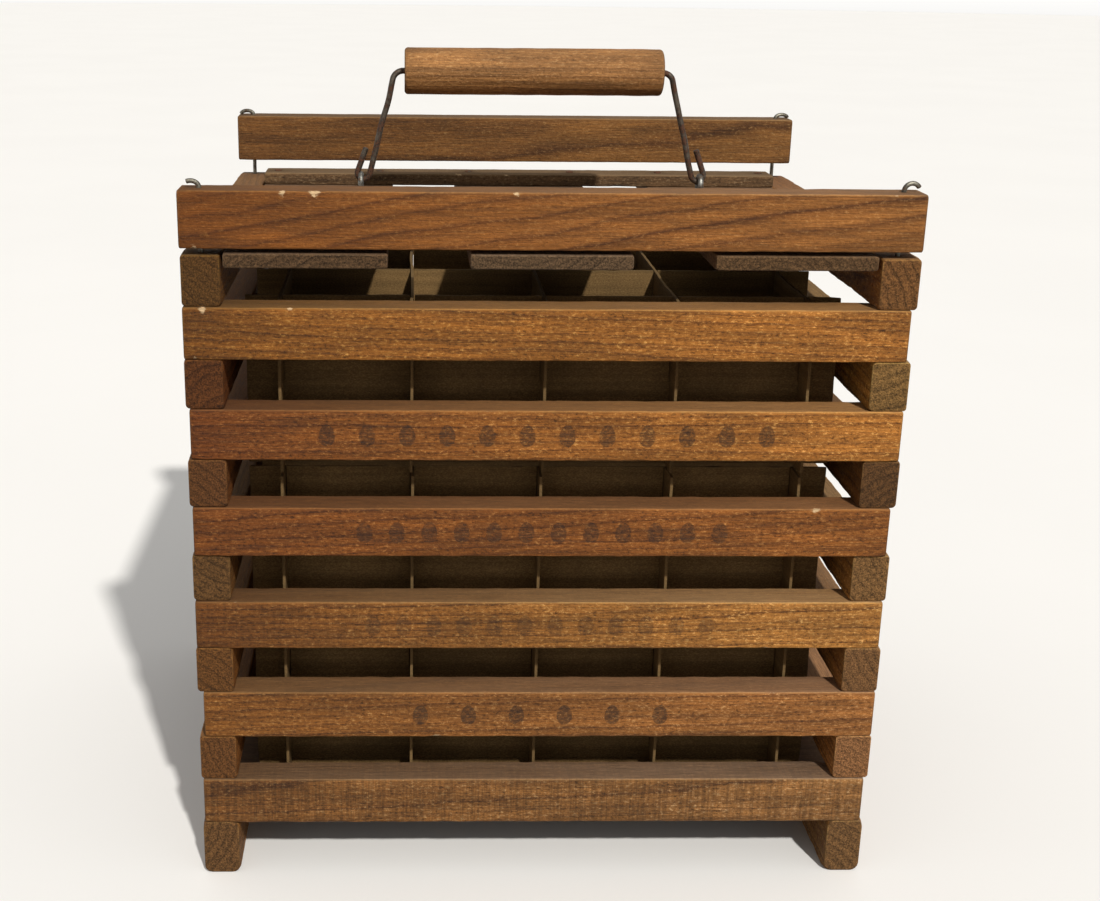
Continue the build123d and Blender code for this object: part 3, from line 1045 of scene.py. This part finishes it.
def grip_outline(half_u, radius):
    """Half outline as (place along the grip, radius): over the skin, then back through the bore."""
    turn = np.linspace(0, TAU / 4, 7)[:-1]
    face = [(-half_u + 0.12, r) for r in (GRIP_BORE_R + 0.5, 3.4, 6.0, GRIP_SKIN)]
    rim = [(-half_u + GRIP_EASE * (1 - math.cos(t)), radius - GRIP_EASE * (1 - math.sin(t))) for t in turn]
    body = [(u, radius) for u in np.linspace(-half_u + GRIP_EASE, half_u - GRIP_EASE, 56)]
    far_end = [(-u, r) for u, r in (face + rim)[::-1]]
    bore = [(u, GRIP_BORE_R) for u in np.linspace(half_u - 0.35, -half_u + 0.35, 12)]
    return np.array(face + rim + body + far_end + bore)


def closed_skin(count, sides):
    """Faces over rings that come round to the first ring again."""
    faces = []
    for i in range(count):
        here, there = i * sides, (i + 1) % count * sides
        for j in range(sides):
            k = (j + 1) % sides
            faces.append((here + j, here + k, there + k, there + j))
    return faces


def grip():
    """A turned handle with a bore, eased ends and years of handling."""
    rng = np.random.default_rng(430)
    low, high = box_mm("grip")
    centre = (low + high) / 2
    half_u = (high[0] - low[0]) / 2
    radius = (high[2] - low[2]) / 2
    outline = grip_outline(half_u, radius)
    angle = np.arange(GRIP_SIDES) / GRIP_SIDES * TAU
    u = outline[:, 0][:, None]
    r = outline[:, 1][:, None] * np.ones(GRIP_SIDES)
    skin = np.clip((r - GRIP_SKIN) / (radius - GRIP_SKIN), 0, 1)
    thin = 0.1 + wave(rng, 0.1, 70)(u)
    thin = thin + 0.07 * np.cos(2 * angle + 0.02 * u) + 0.05 * np.cos(3 * angle - 0.05 * u)
    r = r - skin * np.clip(thin, 0.0, 0.4)
    rings = np.stack([u * np.ones(GRIP_SIDES), r * np.cos(angle), r * np.sin(angle)], axis=2)
    faces = closed_skin(len(outline), GRIP_SIDES)
    piece = new_object("visual_grip", rings.reshape(-1, 3) + centre, faces)
    local = points_of(piece) - centre
    dress_wood(
        piece, rng, local, (half_u, radius, radius), pith=(6.0, -30.0), tilt=(0.02, 0.012), ring=3.0,
        tints=((1.14, 1.16, 1.1), (1.12, 1.14, 1.1)), nicks=(), mark=(0, 0, 0), fuzz=0.7,
        stains=[(-half_u, 0, 9, 0.3), (half_u, 0, 9, 0.35), (20, 0, 14, 0.08)],
    )
    out = np.hypot(local[:, 1], local[:, 2])
    depths = np.stack([half_u - np.abs(local[:, 0]), radius - out, np.full(len(out), 50.0)], axis=1)
    piece.data.attributes["depths"].data.foreach_set("vector", depths.astype(np.float32).ravel())
    stand_in(piece, "grip")


# ---- egg filler
PANEL_T = 1.2
SLOT = 2.0


def plate(s_edges, z_edges, filled, thickness):
    """A sheet on edge from a grid of cells, some of them left out; local (s, n, z)."""
    ns, nz = len(s_edges), len(z_edges)
    s, z = np.meshgrid(s_edges, z_edges, indexing="ij")
    layer = lambda n: np.stack([s, np.full_like(s, n), z], axis=2).reshape(-1, 3)
    points = np.concatenate([layer(-thickness / 2), layer(thickness / 2)])
    other = ns * nz
    faces = []
    for i in range(ns - 1):
        for j in range(nz - 1):
            if not filled[i, j]:
                continue
            corner = i * nz + j
            quad = (corner, corner + nz, corner + nz + 1, corner + 1)
            faces += [quad, tuple(k + other for k in quad[::-1])]
            for di, dj, m, n in ((-1, 0, 3, 0), (1, 0, 1, 2), (0, -1, 0, 1), (0, 1, 2, 3)):
                x, y = i + di, j + dj
                if not (0 <= x < ns - 1 and 0 <= y < nz - 1) or not filled[x, y]:
                    faces.append((quad[m], quad[n], quad[n] + other, quad[m] + other))
    used = sorted({k for f in faces for k in f})
    number = {k: i for i, k in enumerate(used)}
    return points[used], [tuple(number[k] for k in f) for f in faces]


def filler_panel(rng, length, height, spots, open_end):
    """One slotted strip, bowed between its slots and furred along its free edge; local (s, n, z)."""
    cuts = np.concatenate([[x - SLOT / 2, x + SLOT / 2] for x in spots])
    even = np.linspace(-length / 2, length / 2, int(length / 4.5))
    even = [x for x in even if np.abs(cuts - x).min() > 1.2]
    s_edges = np.unique(np.concatenate([even, cuts]))
    z_edges = np.unique(np.concatenate([np.linspace(-height / 2, height / 2, 15), [0.0]]))
    mid_s = (s_edges[1:] + s_edges[:-1]) / 2
    mid_z = (z_edges[1:] + z_edges[:-1]) / 2
    in_slot = np.array([np.abs(np.array(spots) - x).min() < SLOT / 2 for x in mid_s])
    filled = ~(in_slot[:, None] & (mid_z * open_end > 0)[None, :])
    points, faces = plate(s_edges, z_edges, filled, PANEL_T)
    flat = points.copy()
    s, z = points[:, 0], points[:, 2]
    bay = np.searchsorted(np.array(spots), s)
    edges = np.concatenate([[-length / 2 - 8], spots, [length / 2 + 8]])
    share = (s - edges[bay]) / (edges[bay + 1] - edges[bay])
    bow = rng.uniform(-0.7, 0.7, len(edges))[bay] * np.sin(np.pi * share) ** 2
    bow = bow * (0.35 + 0.65 * np.abs(z) / (height / 2))
    points[:, 1] += bow
    top = z > height / 2 - 0.01
    sag = np.abs(wave(rng, 0.45, 60)(s)) + np.abs(wave(rng, 0.25, 9)(s))
    sag = sag + np.abs(rng.normal(0, 0.06, len(s)))
    points[:, 2] -= np.where(top, sag, 0.0)
    ends = np.abs(s) > length / 2 - 0.01
    points[:, 0] -= np.where(ends, np.sign(s) * np.abs(wave(rng, 0.5, 40)(z)), 0.0)
    return points, faces, flat


def dress_board(piece, flats, half, tints):
    """What the chipboard material reads; flats are the points before bending, in (s, n, z)."""
    flat = np.concatenate(flats)
    offsets = np.concatenate([np.full((len(f), 3), 37.0 * i) for i, f in enumerate(flats)])
    store(piece, "place", flat + offsets)
    depths = np.array(half) - np.abs(flat)
    store(piece, "depths", depths)
    colour = np.concatenate([np.tile(t, (len(f), 1)) for t, f in zip(tints, flats)])
    store(piece, "tint", colour)


def filler_layer(layer):
    rng = np.random.default_rng(500 + layer)
    low_l, high_l = box_mm(f"filler_{layer}_long_panels")
    low_c, high_c = box_mm(f"filler_{layer}_cross_panels")
    height = high_l[2] - low_l[2]
    mid_z = (high_l[2] + low_l[2]) / 2
    long_y = np.linspace(low_l[1] + PANEL_T / 2, high_l[1] - PANEL_T / 2, 4)
    cross_x = np.linspace(low_c[0] + PANEL_T / 2, high_c[0] - PANEL_T / 2, 5)
    mid_y = (long_y[0] + long_y[-1]) / 2
    long_length = high_l[0] - low_l[0]
    cross_length = high_c[1] - low_c[1]
    jobs = (
        ("long_panels", [(0, y) for y in long_y], long_length, cross_x, 1, "X"),
        ("cross_panels", [(x, mid_y) for x in cross_x], cross_length, long_y - mid_y, -1, "Y"),
    )
    for kind, centres, length, spots, open_end, along in jobs:
        parts, flats, tints = [], [], []
        for x, y in centres:
            points, faces, flat = filler_panel(rng, length, height, list(spots), open_end)
            parts.append((to_frame(points, along, np.array([x, y, mid_z])), faces))
            flats.append(flat)
            tints.append(np.array([1.0, 0.98, 0.94]) * rng.uniform(0.86, 1.06))
        node = f"filler_{layer}_{kind}"
        piece = new_object("visual_" + node, *join_parts(parts))
        dress_board(piece, flats, (length / 2, PANEL_T / 2, height / 2), tints)
        stand_in(piece, node)
    filler_flat(rng, f"filler_{layer}_flat")


def filler_flat(rng, node):
    """The sheet under a layer: a thin plate, its edges a little wavy."""
    low, high = box_mm(node)
    half = (high - low) / 2
    centre = (high + low) / 2
    s_edges = np.linspace(-half[0], half[0], 40)
    z_edges = np.linspace(-half[1], half[1], 30)
    points, faces = plate(s_edges, z_edges, np.ones((39, 29), bool), 2 * half[2])
    flat = points.copy()
    s, z = flat[:, 0], flat[:, 2]
    points[:, 0] -= np.where(np.abs(s) > half[0] - 0.01, np.sign(s) * np.abs(wave(rng, 0.8, 70)(z)), 0.0)
    points[:, 2] -= np.where(np.abs(z) > half[1] - 0.01, np.sign(z) * np.abs(wave(rng, 0.8, 70)(s)), 0.0)
    placed = points[:, [0, 2, 1]] + centre
    piece = new_object("visual_" + node, placed, faces)
    dress_board(piece, [flat], (half[0], half[2], half[1]), [np.array([0.95, 0.93, 0.9])])
    stand_in(piece, node)


# ---- studio
CAMERA_PLACE = (-0.05947, -0.75083, 0.40832)
CAMERA_YAW = 0.0226
CAMERA_DOWN = 0.3124
CAMERA_ROLL = 0.0098
CAMERA_LENS = 50.62
CAMERA_SHIFT = 0.1


def camera():
    """The photograph's viewpoint."""
    yaw, down, roll = CAMERA_YAW, CAMERA_DOWN, CAMERA_ROLL
    forward = Vector((math.sin(yaw) * math.cos(down), math.cos(yaw) * math.cos(down), -math.sin(down)))
    right = Vector((math.cos(yaw), -math.sin(yaw), 0))
    up = right.cross(forward)
    across = right * math.cos(roll) + up * math.sin(roll)
    above = up * math.cos(roll) - right * math.sin(roll)
    data = bpy.data.cameras.new("camera")
    data.lens = CAMERA_LENS
    data.sensor_width = 36.0
    data.shift_x = CAMERA_SHIFT
    data.clip_start = 0.01
    data.clip_end = 50.0
    made = add_object("camera", data)
    turned = Matrix((across, above, -forward)).transposed().to_4x4()
    made.matrix_world = Matrix.Translation(CAMERA_PLACE) @ turned
    bpy.context.scene.camera = made


KEY_AZIMUTH = 18.0            # degrees to the right of straight in front
KEY_HEIGHT = 42.0             # degrees above level
KEY_SPREAD = 2.2              # degrees across
KEY_STRENGTH = 3.0
KEY_COLOUR = (1.0, 0.97, 0.92)
FLOOR_RADIUS = 12.0           # metres
FLOOR_SIDES = 96
# World brightness by height of the direction's end: -1 straight down to 1 straight up.
SKY = [(-1.0, 0.03), (-0.06, 0.04), (-0.03, 1.0), (0.05, 1.0), (0.16, 0.3), (1.0, 0.6)]


def key_light():
    """The main light, in front, above and to the right."""
    azimuth, height = math.radians(KEY_AZIMUTH), math.radians(KEY_HEIGHT)
    level = math.cos(height)
    out = Vector((math.sin(azimuth) * level, -math.cos(azimuth) * level, math.sin(height)))
    data = bpy.data.lights.new("key", "SUN")
    data.angle = math.radians(KEY_SPREAD)
    data.energy = KEY_STRENGTH
    data.color = KEY_COLOUR
    made = add_object("key", data)
    made.location = out
    made.rotation_euler = (-out).to_track_quat("-Z", "Y").to_euler()


def sky():
    """Pale all round the horizon, softer overhead, dark below."""
    world = bpy.data.worlds.new("studio")
    world.use_nodes = True
    s = Nodes(world.node_tree)
    height = s.split(s.node("TexCoord").outputs["Generated"])[2]
    stops = [(z / 2 + 0.5, (level, level * 0.99, level * 0.97, 1.0)) for z, level in SKY]
    colour = s.ramp(s.linear(height, 0.5, 0.5), stops)
    s.plug(s.tree.nodes["Background"].inputs["Color"], colour)
    bpy.context.scene.world = world


def floor():
    """A wide pale floor that lights nothing from below."""
    mesh = bpy.data.meshes.new("floor")
    angle = np.arange(FLOOR_SIDES) / FLOOR_SIDES * TAU
    rim = [(FLOOR_RADIUS * math.cos(t), FLOOR_RADIUS * math.sin(t), 0) for t in angle]
    mesh.from_pydata(rim, [], [tuple(range(FLOOR_SIDES))])
    mesh.materials.append(floor_material())
    made = add_object("floor", mesh)
    made.visible_diffuse = False


# ---- build
front_and_back()
sides()
boards()
nails()
rods()
screw_eyes()
bail()
grip()
for number in (1, 2, 3):
    filler_layer(number)
key_light()
sky()
floor()
camera()
bpy.context.scene.view_settings.view_transform = "Standard"
